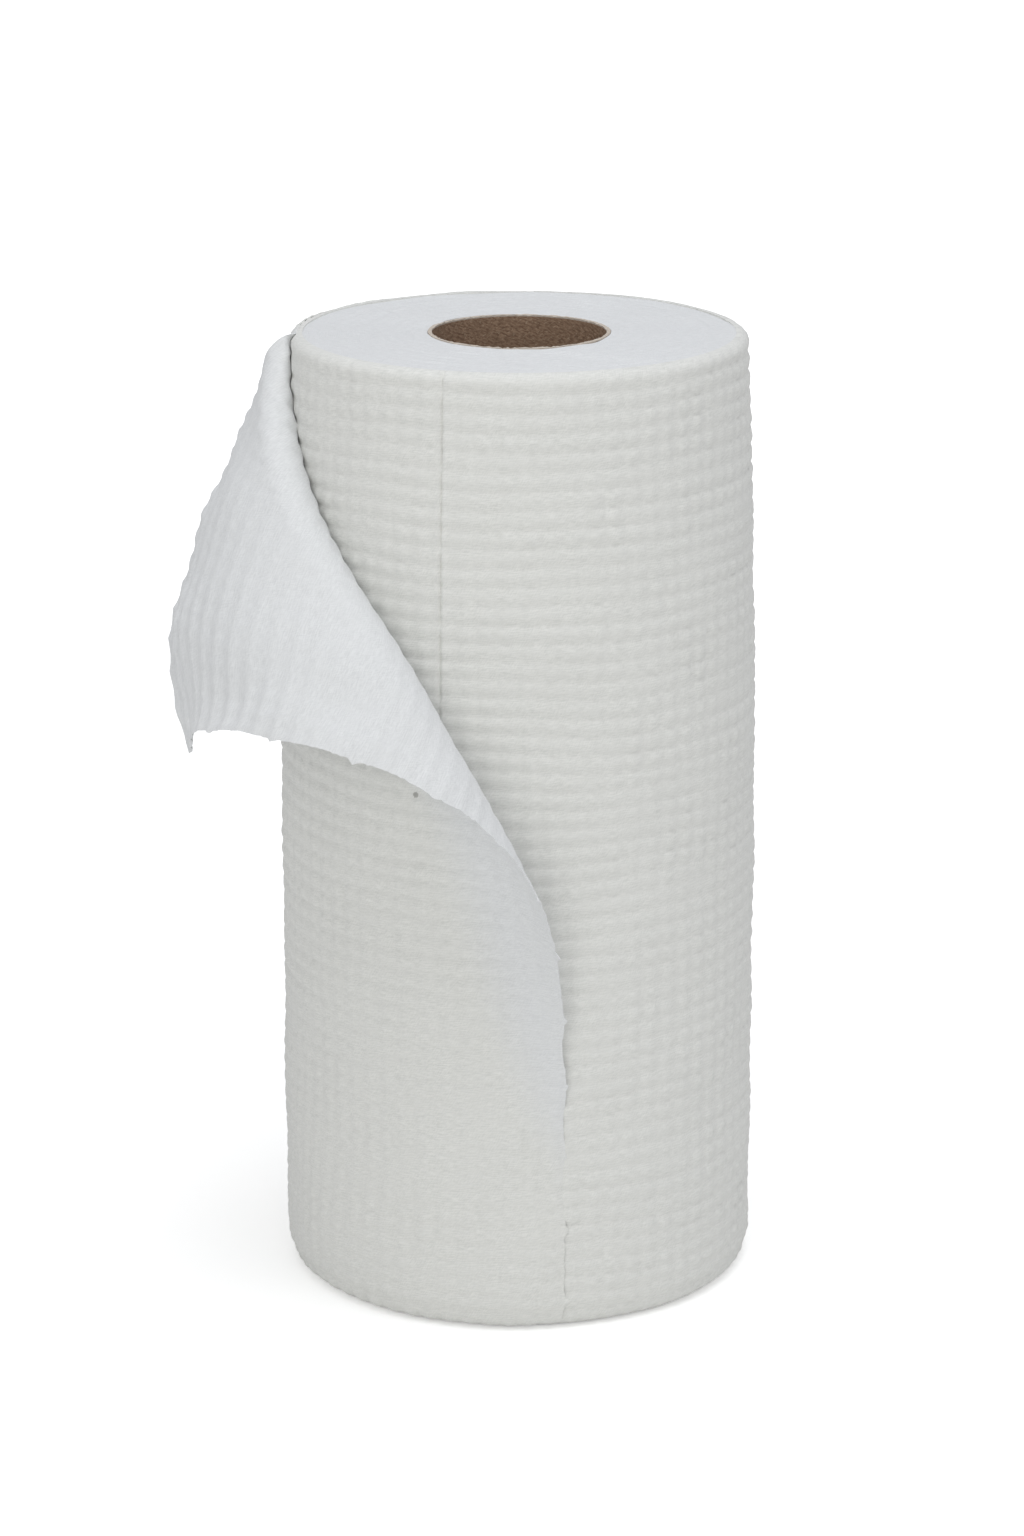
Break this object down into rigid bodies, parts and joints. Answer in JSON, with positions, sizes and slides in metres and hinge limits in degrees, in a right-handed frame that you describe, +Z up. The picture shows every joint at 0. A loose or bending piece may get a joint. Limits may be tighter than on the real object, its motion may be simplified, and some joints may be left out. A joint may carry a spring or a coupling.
{
  "type": "reusable cleaning cloth roll",
  "caption": "Upright roll of white embossed non-woven cleaning cloth on a paperboard core, with the loose corner of the outer turn peeled back.",
  "frame": {"origin": "on the core's axis, in the plane of the base that the roll stands on", "axes": "+Z up along the core's axis; -Y towards the cloth's free edge; the loose corner hangs towards -X and -Y"},
  "size_m": [0.1452, 0.1438, 0.24],
  "materials": {
    "cloth": "matt white non-woven, embossed in a fine waffle of ribs",
    "core_board": "uncoated brown kraft board"
  },
  "bodies": {
    "root": {"cloth_roll": "cloth", "core_tube": "core_board"}
  },
  "joints": []
}
